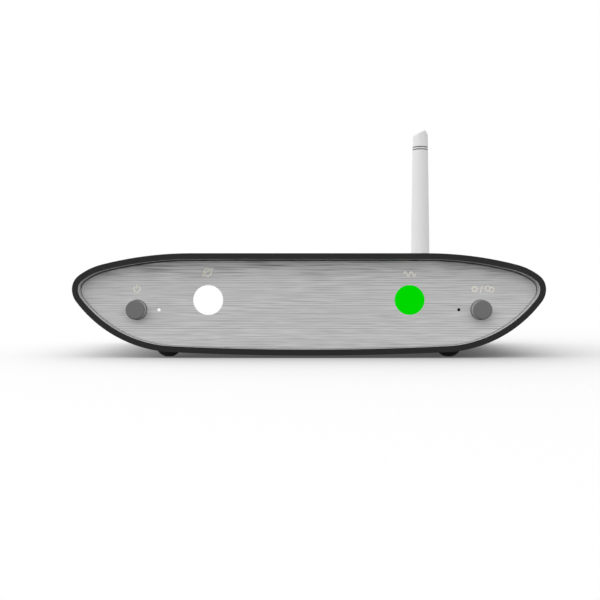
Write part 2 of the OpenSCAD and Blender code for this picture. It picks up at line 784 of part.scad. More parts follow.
module foot(x, y) difference() {
    translate([x, y, 0]) intersection() {
        translate([0, 0, foot_c]) sphere(foot_r);
        block(3 * foot_r, -1.5 * foot_r, 1.5 * foot_r, 0, foot_r);
    }
    depth(y - 2 * foot_r, y + 2 * foot_r) outline(0);
}

module rubber_feet() color(rubber_black)
    for (x = [-foot_x, foot_x], y = [foot_inset, sleeve_d - foot_inset]) foot(x, y);

module main_board() color(board_green) block(2 * board_half, board_y, board_end_y, board_z, board_t);

module control_board() color(board_green) depth(control_y, control_y + board_t) difference() {
    translate([-control_half, control_z]) square([2 * control_half, control_h]);
    for (p = posts) translate(p) circle(d = small_screw_d + 2 * fit_gap);
    for (x = link_xs) translate([x, link_z]) circle(d = link_pin * sqrt(2) + 2 * fit_gap);
}

module control_screws() color(steel) for (p = posts) at(p) {
    rod(small_screw_d, control_y - small_screw_len, control_y + board_t + small_head_t / 2);
    rod(small_head_d, control_y + board_t, control_y + board_t + small_head_t);
}

module link_strip() color(moulded_black)
    block(link_pins * link_pitch, board_y, board_y + link_body, board_top, link_body);

module link_pin_row() color(gold)
    for (x = link_xs) at([x, link_z]) bar(link_pin, link_pin, control_y - link_tail, board_y);

module processor() color(chip_black)
    block(cpu_w, cpu_y - cpu_w / 2, cpu_y + cpu_w / 2, board_top, cpu_t);

module heat_sink() color(steel) translate([0, cpu_y, board_top + cpu_t]) {
    block(sink_w, -sink_w / 2, sink_w / 2, 0, sink_base);
    for (i = [0 : sink_fins - 1])
        translate([(i / (sink_fins - 1) - 0.5) * (sink_w - sink_fin), 0, 0])
            block(sink_fin, -sink_w / 2, sink_w / 2, 0, sink_h);
}

module memory_chips() color(chip_black) for (side = [-1, 1]) at([side * memory_x, board_top])
    block(memory_w, cpu_y - memory_l / 2, cpu_y + memory_l / 2, 0, memory_t);

module storage_capacitors() color(moulded_black) for (i = [0, 1], j = [0, 1])
    translate([i * cap_pitch - cap_x, cap_y + j * cap_pitch, board_top]) cylinder(d = cap_d, h = cap_h);

module power_coils() color(chip_black) for (j = [0, 1])
    translate([2 * cap_pitch - cap_x, cap_y + j * cap_pitch, board_top])
        block(coil_w, -coil_w / 2, coil_w / 2, 0, coil_h);

module clock_cans() color(steel) for (side = [-1, 1]) at([side * clock_x, board_top])
    block(clock_w, clock_y - clock_l / 2, clock_y + clock_l / 2, 0, clock_h);

module wireless_module() color(board_green) at([antenna_at.x, board_top])
    block(radio_w, radio_y, radio_y + radio_l, 0, radio_t);

module wireless_shield() color(steel) at([antenna_at.x, board_top + radio_t])
    block(radio_w - 2 * can_edge, radio_y + can_edge, radio_y + can_edge + can_l, 0, can_h);

// Thin coaxial lead: straight out of the crimp tube, then down into the module's plug
module antenna_lead() color(moulded_black) {
    at(antenna_at) rod(lead_d, lead_bend_y, crimp_y);
    translate([antenna_at.x, lead_bend_y, antenna_z - lead_bend]) rotate([90, 0, -90])
        rotate_extrude(angle = 90) translate([lead_bend, 0]) circle(d = lead_d);
    translate([antenna_at.x, plug_y, board_top + radio_t]) cylinder(d = plug_d, h = plug_h);
}

// Round light: a flush face, a flange behind the panel and a pipe to its lamp
module status_light(side) at([side * lens_x, lens_z]) {
    rod(lens_d, panel_y, carrier_y + lens_flange_t / 2);
    rod(lens_d + 2 * lens_flange, carrier_y, carrier_y + lens_flange_t);
    rod(lens_d - pipe_step, carrier_y + lens_flange_t / 2, control_y - lamp_t - seat_gap);
}

module network_light() color(lamp_white) status_light(-1);

module rate_light() color(lamp_green) status_light(1);

module dot_light(side) at([side * dot_x, button_z]) {
    rod(dot_d, panel_y, carrier_y + dot_flange_t / 2);
    rod(dot_d + 2 * dot_flange, carrier_y, carrier_y + dot_flange_t);
    rod(dot_d + 2 * dot_pipe, carrier_y + dot_flange_t / 2, control_y - dot_lamp_t - seat_gap);
}

module power_dot() color(lamp_white) dot_light(-1);

module setup_dot() color(lamp_off) dot_light(1);

module lamp_chips() color(lamp_white) for (side = [-1, 1]) {
    at([side * lens_x, lens_z]) bar(lamp_w, lamp_w, control_y - lamp_t, control_y);
    at([side * dot_x, button_z]) bar(dot_lamp_w, dot_lamp_w, control_y - dot_lamp_t, control_y);
}

module key_switches() color(chip_black) for (side = [-1, 1]) at([side * button_x, button_z])
    difference() {
        bar(switch_w, switch_w, control_y - switch_d, control_y);
        rod(plunger_d + 2 * run_gap, control_y - switch_d - cut, plunger_stop_y);
    }

// Button: bevelled cap, a flange that holds it behind the panel and a boss on the plunger
module button(side) at([side * button_x, button_z]) {
    translate([0, panel_y - button_proud + button_bevel, 0]) rotate([90, 0, 0])
        cylinder(d1 = button_d, d2 = button_d - 2 * button_bevel, h = button_bevel);
    rod(button_d, panel_y - button_proud + button_bevel, button_flange_y + button_flange_t / 2);
    rod(button_d + 2 * button_flange, button_flange_y, button_flange_y + button_flange_t);
    rod(plunger_d, button_flange_y + button_flange_t / 2, plunger_y);
}

module power_button() color(button_grey) button(-1);

module setup_button() color(button_grey) button(1);

module plunger(side) at([side * button_x, button_z]) rod(plunger_d, plunger_y, plunger_end_y);

module power_plunger() color(moulded_black) plunger(-1);

module setup_plunger() color(moulded_black) plunger(1);

module network_shield() color(steel) at([jack_x, board_top]) difference() {
    block(jack_w, mouth_y - jack_d, mouth_y, 0, jack_h);
    block(bay_body_w, mouth_y - jack_d + shield_t, mouth_y + cut, shield_t, bay_body_h);
}

// Plastic body of the network socket, with a plug bay over a latch slot
module network_insert() color(moulded_black) at([jack_x, board_top]) difference() {
    block(bay_body_w, mouth_y - jack_d + shield_t, mouth_y - shield_t, shield_t, bay_body_h);
    block(bay_w, mouth_y - bay_d, mouth_y + cut, shield_t + sill_t + latch_h, bay_h);
    block(latch_w, mouth_y - bay_d, mouth_y + cut, shield_t + sill_t, latch_h + bay_h / 2);
}

// Spring contacts that slope down from the back of the plug bay
module network_contacts() color(gold) at([jack_x, board_top + shield_t + sill_t + latch_h + bay_h])
    for (i = [0 : jack_contacts - 1])
        translate([(i - (jack_contacts - 1) / 2) * jack_pitch - jack_contact / 2, mouth_y - bay_d, 0])
            rotate([90, 0, 90]) linear_extrude(jack_contact) polygon([
                [0, -2 * jack_contact],
                [0, -jack_contact],
                [jack_contact_l, jack_contact - jack_contact_drop],
                [jack_contact_l, -jack_contact_drop],
            ]);

module usb_shells() color(steel) for (x = usb_xs) at([x, board_top + usb_h / 2]) difference() {
    bar(usb_w, usb_h, mouth_y - usb_d, mouth_y);
    bar(usb_w - 2 * usb_wall, usb_h - 2 * usb_wall, mouth_y - usb_d - cut, mouth_y + cut);
}

module usb_tongues() color(tongue_blue) for (x = usb_xs) at([x, board_top + usb_h / 2]) {
    bar(usb_w - 2 * usb_wall, usb_h - 2 * usb_wall, mouth_y - usb_d, mouth_y - usb_d + tongue_block);
    translate([0, 0, usb_h / 2 - usb_wall - tongue_drop - tongue_t / 2])
        bar(tongue_w, tongue_t, mouth_y - usb_d, mouth_y - tongue_back);
}

module usb_contacts() color(gold) for (x = usb_xs, i = [0 : usb_contacts_n - 1])
    at([x + (i - (usb_contacts_n - 1) / 2) * usb_contact_pitch,
        board_top + usb_h - usb_wall - tongue_drop - tongue_t - usb_contact_t / 2])
        bar(usb_contact_w, usb_contact_t, mouth_y - usb_d + tongue_block, mouth_y - tongue_back);

module coax_block() color(moulded_black) difference() {
    at([coax_at.x, board_top])
        block(coax_block_w, rear_panel_y - coax_block_d, rear_panel_y, 0, coax_rise + coax_crown);
    at(coax_at) rod(barrel_d + 2 * fit_gap, rear_panel_y - barrel_seat, rear_panel_y + cut);
}

module coax_barrel() color(gold) at(coax_at) difference() {
    rod(barrel_d, rear_panel_y - barrel_seat, rear_y + barrel_len);
    rod(barrel_d - 2 * barrel_wall, rear_panel_y - barrel_seat - cut, rear_y + barrel_len + cut);
}

module coax_insulator() color(moulded_black) at(coax_at) difference() {
    rod(barrel_d - 2 * (barrel_wall + fit_gap), rear_panel_y - barrel_seat, core_y);
    rod(contact_d + 2 * fit_gap, rear_panel_y - barrel_seat - cut, rear_y + barrel_len + cut);
}

module coax_contact() color(gold) at(coax_at) difference() {
    rod(contact_d, rear_panel_y - barrel_seat, core_y);
    rod(contact_bore, core_y - contact_depth, core_y + cut);
}

module mode_switch() color(moulded_black) difference() {
    at([mode_at.x, board_top])
        block(mode_block, mode_y - mode_block_d, mode_y, 0, mode_rise + mode_block / 2);
    at(mode_at) rod(shaft_d + 2 * run_gap, mode_y - shaft_seat - seat_gap, mode_y + cut);
}

// Selector knob: shaft, round rim and a grip bar with a pointer groove towards its first place
module mode_knob() color(moulded_black) at(mode_at) difference() {
    union() {
        rod(shaft_d, mode_y - shaft_seat, rear_y);
        rod(knob_d, rear_y - knob_sunk, rear_y + knob_proud);
        intersection() {
            bar(grip_w, knob_d, rear_y, grip_y);
            rod(knob_d - grip_w / 2, rear_y, grip_y);
        }
    }
    block(pointer_w, grip_y - pointer_depth, grip_y + cut, 0, knob_d);
}

module power_inlet() color(moulded_black) difference() {
    union() {
        at([dc_at.x, board_top])
            block(dc_w, rear_panel_y - dc_d, rear_panel_y, 0, dc_rise + dc_crown);
        at(dc_at) rod(dc_nose_d, rear_panel_y - dc_d / 2, rear_y);
    }
    at(dc_at) rod(dc_bore, rear_y - dc_depth, rear_y + cut);
}

module power_pin() color(steel) at(dc_at) rod(dc_pin_d, rear_y - dc_depth, rear_y - dc_pin_back);

module reset_switch() color(chip_black) difference() {
    at([reset_at.x, board_top]) block(reset_w, reset_switch_y, reset_switch_y + reset_d, 0, reset_h);
    at(reset_at) rod(reset_button_d + 2 * run_gap, reset_in_y - reset_travel - seat_gap, rear_panel_y);
}

module reset_button() color(button_grey) at(reset_at) rod(reset_button_d, reset_in_y, rear_y - reset_sunk);

module antenna_socket() color(gold) at(antenna_at) {
    rod(crimp_d, crimp_y, rear_panel_y);
    hex_rod(hex_w, rear_panel_y - socket_flange_t, rear_panel_y);
    rod(socket_d, rear_panel_y - socket_flange_t / 2, swivel_y - seat_gap);
}

module antenna_washer() color(steel) at(antenna_at) difference() {
    rod(washer_d, rear_y, lock_nut_y);
    rod(socket_d + 2 * fit_gap, rear_y - cut, lock_nut_y + cut);
}

module antenna_lock_nut() color(steel) at(antenna_at) difference() {
    hex_rod(hex_w, lock_nut_y, lock_nut_y + lock_nut_t);
    rod(socket_d + 2 * fit_gap, lock_nut_y - cut, lock_nut_y + lock_nut_t + cut);
}

module antenna_coupling() color(steel) at(antenna_at) difference() {
    hex_rod(hex_w, coupling_y, coupling_end_y);
    rod(socket_d + 2 * fit_gap, coupling_y - cut, coupling_end_y - coupling_lip);
    rod(swivel_d + 2 * run_gap, coupling_y - cut, coupling_end_y + cut);
}

// Swivelling knuckle: a flange and neck held by the coupling nut, then a round-ended fork with
// flats round the hinge pin
module antenna_knuckle() color(antenna_white) at(antenna_at) difference() {
    union() {
        rod(swivel_d + 2 * swivel_flange, swivel_y, swivel_y + swivel_flange_t);
        rod(swivel_d, swivel_y, knuckle_y + knuckle_len / 2);
        intersection() {
            rod(knuckle_d, knuckle_y, pin_y + knuckle_d);
            translate([-hinge_w / 2, 0, 0]) rotate([90, 0, 90]) linear_extrude(hinge_w) fork_side();
        }
    }
    bar(hinge_t + 2 * hinge_gap, knuckle_d + 2 * cut, pin_y - hinge_r - hinge_air, pin_y + knuckle_d);
    hinge_rod(pin_d + 2 * fit_gap, hinge_w + 2 * cut);
}

// Side view of the fork, with its round end about the hinge pin
module fork_side() polygon(concat(
    [[knuckle_y - cut, fork_r], [knuckle_y - cut, -fork_r]],
    [for (i = [-arc_steps : arc_steps]) [pin_y, 0] + fork_r * normal(90 - 90 * i / arc_steps)]
));

// Cylinder centred on the hinge line
module hinge_rod(d, length) translate([-length / 2, pin_y, 0]) rotate([0, 90, 0])
    cylinder(d = d, h = length);

module antenna_pin() color(steel) at(antenna_at) hinge_rod(pin_d, hinge_w);

function groove(z) = [
    [mast_r(z - groove_w / 2), z - groove_w / 2],
    [mast_r(z) - groove_depth, z - groove_w / 2],
    [mast_r(z) - groove_depth, z + groove_w / 2],
    [mast_r(z + groove_w / 2), z + groove_w / 2],
];

// Point of the tip's rounded ridge whose surface leans by an angle from level
function ridge(a) = [tip_ridge, mast_len - tip_r] + tip_r * normal(a);

// Front view of the space above the tip: a long and a short slope that meet at the ridge
module above_tip() {
    n = chords(tip_r, tip_slope + tip_fall);
    polygon(concat(
        [[-mast_d0, mast_len + mast_d0], ridge(-tip_slope) - mast_d0 * [cos(tip_slope), sin(tip_slope)]],
        [for (i = [0 : n]) ridge(-tip_slope + (tip_slope + tip_fall) * i / n)],
        [ridge(tip_fall) + mast_d0 * [cos(tip_fall), -sin(tip_fall)], [mast_d0, mast_len + mast_d0]]
    ));
}

// Tapered mast, turned about its own axis, with a hinge tongue below and a slanted tip
module antenna_mast() color(antenna_white) at(antenna_at) difference() {
    union() {
        translate([0, pin_y, 0]) rotate_extrude() polygon(concat(
            [[0, mast_foot], [mast_d0 / 2, mast_foot]],
            groove(mast_len - groove_drop - groove_pitch),
            groove(mast_len - groove_drop),
            [[mast_r(mast_len + cut), mast_len + cut], [0, mast_len + cut]]
        ));
        hinge_rod(2 * hinge_r, hinge_t);
        translate([0, pin_y, 0])
            block(hinge_t, -hinge_r * cos(30), hinge_r * cos(30), 0, mast_foot + cut);
    }
    hinge_rod(pin_d + 2 * run_gap, hinge_t + 2 * cut);
    depth(pin_y - mast_d0, pin_y + mast_d0) above_tip();
}

module placed() translate([0, front_y, 0]) children();

placed() outer_sleeve();
placed() front_panel();
placed() front_carrier();
placed() carrier_screws();
placed() rear_panel();
placed() rear_screws();
placed() rubber_feet();
placed() main_board();
placed() control_board();
placed() control_screws();
placed() link_strip();
placed() link_pin_row();
placed() processor();
placed() heat_sink();
placed() memory_chips();
placed() storage_capacitors();
placed() power_coils();
placed() clock_cans();
placed() wireless_module();
placed() wireless_shield();
placed() antenna_lead();
placed() network_light();
placed() rate_light();
placed() power_dot();
placed() setup_dot();
placed() lamp_chips();
placed() key_switches();
placed() network_shield();
placed() network_insert();
placed() network_contacts();
placed() usb_shells();
placed() usb_tongues();
placed() usb_contacts();
placed() coax_block();
placed() coax_barrel();
placed() coax_insulator();
placed() coax_contact();
placed() mode_switch();
placed() power_inlet();
placed() power_pin();
placed() reset_switch();
placed() antenna_socket();
placed() antenna_washer();
placed() antenna_lock_nut();
placed() antenna_coupling();
placed() power_button();
placed() power_plunger();
placed() setup_button();
placed() setup_plunger();
placed() reset_button();
placed() mode_knob();
placed() antenna_knuckle();
placed() antenna_pin();
placed() antenna_mast();
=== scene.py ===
import json
import math

import bmesh
import bpy
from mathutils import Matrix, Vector


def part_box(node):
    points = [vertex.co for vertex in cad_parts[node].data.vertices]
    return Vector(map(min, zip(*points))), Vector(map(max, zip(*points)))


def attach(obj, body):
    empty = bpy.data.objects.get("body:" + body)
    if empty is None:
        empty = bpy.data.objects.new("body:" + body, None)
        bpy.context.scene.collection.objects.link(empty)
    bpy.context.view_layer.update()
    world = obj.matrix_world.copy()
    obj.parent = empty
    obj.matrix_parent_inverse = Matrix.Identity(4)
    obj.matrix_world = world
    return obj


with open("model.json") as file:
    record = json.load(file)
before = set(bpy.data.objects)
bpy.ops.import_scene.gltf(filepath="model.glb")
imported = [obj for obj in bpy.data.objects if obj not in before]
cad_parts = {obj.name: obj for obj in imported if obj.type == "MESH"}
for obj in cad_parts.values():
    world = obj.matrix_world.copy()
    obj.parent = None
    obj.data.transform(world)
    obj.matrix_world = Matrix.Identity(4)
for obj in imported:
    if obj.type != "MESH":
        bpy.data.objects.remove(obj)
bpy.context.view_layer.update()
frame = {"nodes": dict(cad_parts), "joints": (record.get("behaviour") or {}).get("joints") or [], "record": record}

MM = 0.001
nodes = frame["nodes"]
slot_nodes = {}
for row in frame["record"]["subparts"]:
    slot_nodes.setdefault(row["material_slot"], []).append(row["node"])


def middle(node):
    """Middle of a node's box, in metres."""
    low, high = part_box(node)
    return (low + high) / 2


def add_object(name, mesh, material):
    """Object in the scene made from a bmesh, which is freed."""
    data = bpy.data.meshes.new(name)
    mesh.to_mesh(data)
    mesh.free()
    data.materials.append(material)
    obj = bpy.data.objects.new(name, data)
    bpy.context.scene.collection.objects.link(obj)
    return obj


# Camera: square to the front, as in the photograph
CAMERA_LENS = 50
CAMERA_SENSOR = 36
CAMERA_BACK = 277.6
CAMERA_X = -3.0
CAMERA_Z = 19.4
CAMERA_CLIP = 10
# The sleeve's front edge, in metres
front_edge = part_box("outer_sleeve")[0].y


def add_camera():
    data = bpy.data.cameras.new("camera")
    data.lens = CAMERA_LENS
    data.sensor_width = CAMERA_SENSOR
    data.clip_start = CAMERA_CLIP * MM
    camera = bpy.data.objects.new("camera", data)
    camera.location = (CAMERA_X * MM, front_edge - CAMERA_BACK * MM, CAMERA_Z * MM)
    camera.rotation_euler = (math.radians(90), 0, 0)
    bpy.context.scene.collection.objects.link(camera)
    bpy.context.scene.camera = camera


# Range that the values of a cloudy pattern are taken to cover
CLOUD_LOW = 0.3
CLOUD_HIGH = 0.7
# Period of the wave pattern at scale 1, and how far its lines bend, in radians of phase
WAVE_PERIOD = 2 * math.pi / 20
LINE_BEND = 2.0
# Sockets of the surface that take a constant number
SOCKETS = {
    "metallic": "Metallic",
    "roughness": "Roughness",
    "anisotropic": "Anisotropic",
    "specular": "Specular IOR Level",
    "emission": "Emission Strength",
}


class Shader:
    """Node tree of one material, with short calls to add and join nodes."""

    def __init__(self, name):
        self.material = bpy.data.materials.new(name + "_look")
        self.material.use_nodes = True
        self.tree = self.material.node_tree
        self.surface = self.tree.nodes["Principled BSDF"]
        coordinates = self.add("ShaderNodeTexCoord")
        self.place = coordinates.outputs["Object"]
        self.normal = coordinates.outputs["Normal"]

    def add(self, kind, inputs=None, **settings):
        node = self.tree.nodes.new(kind)
        for key, value in settings.items():
            setattr(node, key, value)
        for key, value in (inputs or {}).items():
            if isinstance(value, bpy.types.NodeSocket):
                self.tree.links.new(value, node.inputs[key])
            else:
                node.inputs[key].default_value = value
        return node

    def set(self, **values):
        """Constant numbers on the surface's own sockets."""
        for key, value in values.items():
            self.surface.inputs[SOCKETS[key]].default_value = value

    def feed(self, socket, source):
        self.tree.links.new(source, self.surface.inputs[socket])

    def calc(self, operation, first, second):
        """Number worked out from two numbers."""
        return self.add("ShaderNodeMath", {0: first, 1: second}, operation=operation).outputs[0]

    def vector(self, operation, first, second):
        """Node that works on two vectors."""
        return self.add("ShaderNodeVectorMath", {0: first, 1: second}, operation=operation)

    def component(self, vector, axis):
        return self.add("ShaderNodeSeparateXYZ", {0: vector}).outputs[axis]

    def spread(self, size, stretch, seed):
        """Coordinates for a pattern with features of size millimetres, times stretch along each axis."""
        scale = [1 / (size * MM * factor) for factor in stretch]
        inputs = {"Vector": self.place, "Scale": scale, "Location": seed}
        return self.add("ShaderNodeMapping", inputs).outputs[0]

    def noise(self, size, stretch=(1, 1, 1), detail=4.0, seed=(0, 0, 0)):
        """Cloudy pattern whose features are about size millimetres, times stretch along each axis."""
        inputs = {"Vector": self.spread(size, stretch, seed), "Scale": 1.0, "Detail": detail}
        return self.add("ShaderNodeTexNoise", inputs).outputs["Fac"]

    def lines(self, period, stretch, seed):
        """Level lines, period millimetres apart, whose slow bends are drawn out along x by stretch."""
        inputs = {
            "Vector": self.spread(period / WAVE_PERIOD, (stretch, 1, 1), seed),
            "Scale": 1.0,
            "Distortion": LINE_BEND,
            "Detail": 1.0,
            "Detail Scale": 1.0,
        }
        return self.add("ShaderNodeTexWave", inputs, bands_direction="Z").outputs["Fac"]

    def ramp(self, source, *stops):
        """Colour by value: each stop is a place and a linear grey or colour."""
        node = self.add("ShaderNodeValToRGB", {"Fac": source})
        elements = node.color_ramp.elements
        while len(elements) < len(stops):
            elements.new(0.5)
        for element, (place, colour) in zip(elements, stops):
            element.position = place
            element.color = (*grey(colour), 1)
        return node.outputs["Color"]

    def tones(self, cloud, low, high):
        """Colour from low to high over the range of a cloudy pattern."""
        return self.ramp(cloud, (CLOUD_LOW, low), (CLOUD_HIGH, high))

    def band(self, source, low, high, start=CLOUD_LOW, end=CLOUD_HIGH):
        """Number from low to high as the source goes from start to end."""
        inputs = {"Value": source, "From Min": start, "From Max": end, "To Min": low, "To Max": high}
        return self.add("ShaderNodeMapRange", inputs).outputs["Result"]

    def blend(self, kind, share, first, second):
        inputs = {"Factor": share, "A": first, "B": second}
        node = self.add("ShaderNodeMix", data_type="RGBA", blend_type=kind)
        for socket in (s for s in node.inputs if s.enabled):
            value = inputs[socket.name]
            if isinstance(value, bpy.types.NodeSocket):
                self.tree.links.new(value, socket)
            elif socket.name == "Factor":
                socket.default_value = value
            else:
                socket.default_value = (*grey(value), 1)
        return next(s for s in node.outputs if s.enabled)

    def bump(self, height, depth):
        """Relief of the given depth in millimetres."""
        inputs = {"Height": height, "Strength": 1.0, "Distance": depth * MM}
        self.feed("Normal", self.add("ShaderNodeBump", inputs).outputs["Normal"])


def grey(colour):
    return colour if isinstance(colour, (tuple, list)) else (colour, colour, colour)


def shade(colour, factor):
    return tuple(channel * factor for channel in grey(colour))


# Grained finishes: size is that of the grain, rough the lowest and highest roughness, depth the relief
GRAINED = {
    "bare_aluminium": dict(
        colour=(0.45, 0.455, 0.46), contrast=0.10, size=0.3, rough=(0.32, 0.42), depth=0.004,
        stretch=(1, 40, 1), metal=1.0,
    ),
    "steel": dict(
        colour=(0.46, 0.465, 0.475), contrast=0.08, size=0.12, rough=(0.22, 0.34), depth=0.002,
        stretch=(6, 1, 1), metal=1.0,
    ),
    "black_steel": dict(
        colour=0.02, contrast=0.1, size=0.12, rough=(0.4, 0.5), depth=0.002,
        stretch=(6, 1, 1), metal=1.0,
    ),
    "gold": dict(
        colour=(0.70, 0.47, 0.16), contrast=0.06, size=0.15, rough=(0.2, 0.3), depth=0.002,
        stretch=(1, 6, 1), metal=1.0,
    ),
    "black_plastic": dict(colour=0.012, contrast=0.25, size=0.22, rough=(0.44, 0.54), depth=0.008),
    "rear_coat": dict(colour=0.011, contrast=0.25, size=0.28, rough=(0.5, 0.6), depth=0.012),
    "rubber": dict(colour=0.009, contrast=0.3, size=0.35, rough=(0.62, 0.74), depth=0.02),
    "chip": dict(colour=0.014, contrast=0.2, size=0.12, rough=(0.5, 0.6), depth=0.006),
    "lamp": dict(colour=(0.80, 0.79, 0.74), contrast=0.05, size=0.4, rough=(0.4, 0.5), depth=0.004),
    "tongue": dict(colour=(0.012, 0.055, 0.30), contrast=0.12, size=0.25, rough=(0.36, 0.46), depth=0.005),
    # painted shade: grey of the rings that stand in for the shadow in the mast's grooves
    "groove_shade_grey": dict(colour=0.07, contrast=0.15, size=0.2, rough=(0.5, 0.6), depth=0.003),
    "ink": dict(colour=(0.95, 0.92, 0.83), contrast=0.03, size=0.12, rough=(0.5, 0.6), depth=0.002),
    "dark_light": dict(colour=0.002, contrast=0.2, size=0.3, rough=(0.3, 0.4), depth=0.002, specular=0.05),
    "antenna_plastic": dict(
        colour=0.97, contrast=0.015, size=0.3, rough=(0.5, 0.58), depth=0.004, specular=0.05,
    ),
}
# Size of the patches of uneven gloss, in sizes of the grain
BROAD = 18


def grained(name, colour, contrast, size, rough, depth, stretch=(1, 1, 1), metal=0.0, specular=0.5):
    """Even finish with a fine grain: a little light and dark, uneven gloss and a shallow relief."""
    shader = Shader(name)
    fine = shader.noise(size, stretch)
    broad = shader.noise(size * BROAD, stretch, detail=2.0)
    shader.feed("Base Color", shader.tones(fine, shade(colour, 1 - contrast), shade(colour, 1 + contrast)))
    shader.feed("Roughness", shader.band(broad, *rough))
    shader.bump(fine, depth)
    shader.set(metallic=metal, specular=specular)
    return shader


# A wall faces in where its plane, measured from the axis along its normal, is below INWARD
INWARD = -0.5
# Depth of the bare walls behind the sleeve's front edge
BARE_DEPTH = 12


def facing_in(shader, centre_z):
    """1 on walls that look towards the axis at height centre_z, otherwise 0."""
    away = shader.vector("SUBTRACT", shader.place, (0, 0, centre_z)).outputs[0]
    across = shader.vector("MULTIPLY", away, (1, 0, 1)).outputs[0]
    outward = shader.vector("DOT_PRODUCT", across, shader.normal).outputs["Value"]
    return shader.calc("LESS_THAN", outward, INWARD * MM)


def near_front(shader, depth):
    """1 up to depth millimetres behind the sleeve's front edge, otherwise 0."""
    return shader.calc("LESS_THAN", shader.component(shader.place, "Y"), front_edge + depth * MM)


def sleeve_coat():
    """Satin black coat, and bare aluminium on the inner walls that were masked near the front."""
    shader = Shader("sleeve_coat")
    fine = shader.noise(size=0.16)
    drawn = shader.noise(size=0.3, stretch=(1, 60, 1))
    broad = shader.noise(size=3.0, detail=2.0)
    facing = facing_in(shader, middle("outer_sleeve").z)
    inside = shader.calc("MULTIPLY", facing, near_front(shader, BARE_DEPTH))
    coat = shader.tones(fine, low=(0.0115, 0.0115, 0.012), high=(0.0150, 0.0150, 0.0155))
    bare = shader.tones(drawn, low=0.58, high=0.64)
    shader.feed("Base Color", shader.blend("MIX", inside, coat, bare))
    shader.feed("Metallic", shader.band(inside, low=0.0, high=0.15, start=0.0, end=1.0))
    shader.feed("Roughness", shader.band(broad, low=0.41, high=0.44))
    shader.bump(fine, depth=0.005)
    shader.set(specular=0.25)
    return shader


# Patterns of the front panel, drawn out along x: faint streaks, dark waves and patches where lines show; the dark
# waves also carry painted shade towards the top edge
STREAKS = dict(size=0.32, stretch=(50, 1, 1), detail=1.0, seed=(3.1, 0, 7.7))
WAVES = dict(size=0.6, stretch=(30, 1, 1), detail=2.0, seed=(8.3, 0, 1.9))
PATCHES = dict(size=0.8, stretch=(14, 1, 1), detail=1.0)
# Tones of the dark waves: the darkest at the low end of their pattern, none from WAVE_EDGE up
WAVE_DARK = 0.34
WAVE_EDGE = 0.5
# Distances between the brushed lines, their darkest tone, and how far their bends are drawn out
LINES = (0.70, 0.77, 0.86)
LINE_DARK = 0.77
LINE_STRETCH = 10
# Heights between which the dark waves, painted shade under the sleeve's top lip, come in towards the top edge, and
# the painted shade towards the bottom edge, with its darkest tone
WAVE_SHADE_FROM = 25.5
WAVE_SHADE_FULL = 31
BOTTOM_SHADE_FROM = 7.5
BOTTOM_SHADE_FULL = 3.5
BOTTOM_SHADE_DARK = 0.82


def between(shader, start, end):
    """Share that grows from 0 to 1 between two heights in millimetres."""
    return shader.band(shader.component(shader.place, "Z"), 0.0, 1.0, start * MM, end * MM)


def brushed_panel():
    """Aluminium brushed from side to side: fine lines, faint streaks and a few dark waves, with painted shade
    under the top lip and towards the bottom edge.
    """
    shader = Shader("brushed_panel")
    streak = shader.noise(**STREAKS)
    tone = shader.tones(streak, low=0.765, high=0.785)
    for i, period in enumerate(LINES):
        line = shader.ramp(shader.lines(period, LINE_STRETCH, (i, 0, 2 * i)), (0.0, LINE_DARK), (1.0, 1.0))
        share = shader.band(shader.noise(**PATCHES, seed=(i, 0, 3 * i)), 0.0, 1.0)
        tone = shader.blend("MULTIPLY", share, tone, line)
    shade_waves = shader.ramp(shader.noise(**WAVES), (CLOUD_LOW, WAVE_DARK), (WAVE_EDGE, 1.0))
    # painted shade: the dark waves only come in near the top edge, where the sleeve's lip shades the panel
    tone = shader.blend("MULTIPLY", between(shader, WAVE_SHADE_FROM, WAVE_SHADE_FULL), tone, shade_waves)
    # painted shade: the panel is darker towards its bottom edge
    tone = shader.blend("MULTIPLY", between(shader, BOTTOM_SHADE_FROM, BOTTOM_SHADE_FULL), tone, BOTTOM_SHADE_DARK)
    shader.feed("Base Color", tone)
    shader.feed("Roughness", shader.band(streak, low=0.46, high=0.40))
    shader.bump(streak, depth=0.004)
    shader.set(metallic=0.08, anisotropic=0.5)
    return shader


# Solder mask: its colour, the factors of that colour, the scale of its fields and the width of their joints
MASK_GREEN = (0.012, 0.075, 0.035)
MASK_FACTORS = {"Color1": 0.75, "Color2": 1.0, "Mortar": 0.5}
MASK_FIELD = 9
MASK_JOINT = 0.02


def board():
    """Solder mask with fields in two greens and darker joints between them."""
    shader = Shader("board")
    inputs = {"Vector": shader.place, "Scale": 1 / (MASK_FIELD * MM), "Mortar Size": MASK_JOINT}
    fields = shader.add("ShaderNodeTexBrick", inputs)
    for socket, factor in MASK_FACTORS.items():
        fields.inputs[socket].default_value = (*shade(MASK_GREEN, factor), 1)
    shader.feed("Base Color", fields.outputs["Color"])
    shader.feed("Roughness", shader.band(shader.noise(size=2.0), low=0.28, high=0.4))
    shader.bump(fields.outputs["Fac"], depth=0.02)
    return shader


# Factors of the frosted plastic's colour and of its glow at the low end of the grain
FROST_BODY = 0.9
FROST_GLOW = 0.98


def lit(name, glow, body):
    """Frosted plastic lit from behind, a shade dimmer towards its grain."""
    shader = Shader(name)
    frost = shader.noise(size=0.5, detail=2.0)
    shader.feed("Base Color", shader.tones(frost, shade(body, FROST_BODY), body))
    shader.feed("Emission Color", shader.tones(frost, shade(glow, FROST_GLOW), glow))
    shader.feed("Roughness", shader.band(frost, low=0.5, high=0.6))
    shader.bump(frost, depth=0.002)
    shader.set(emission=1.0, specular=0.0)
    return shader


def white_light():
    return lit("white_light", glow=1.0, body=0.05)


def green_light():
    return lit("green_light", glow=(0.0, 0.67, 0.0), body=(0.0, 0.02, 0.0))


# A button's face looks along -y; its side is all whose normal has a y above this
SIDE_FROM = -0.3


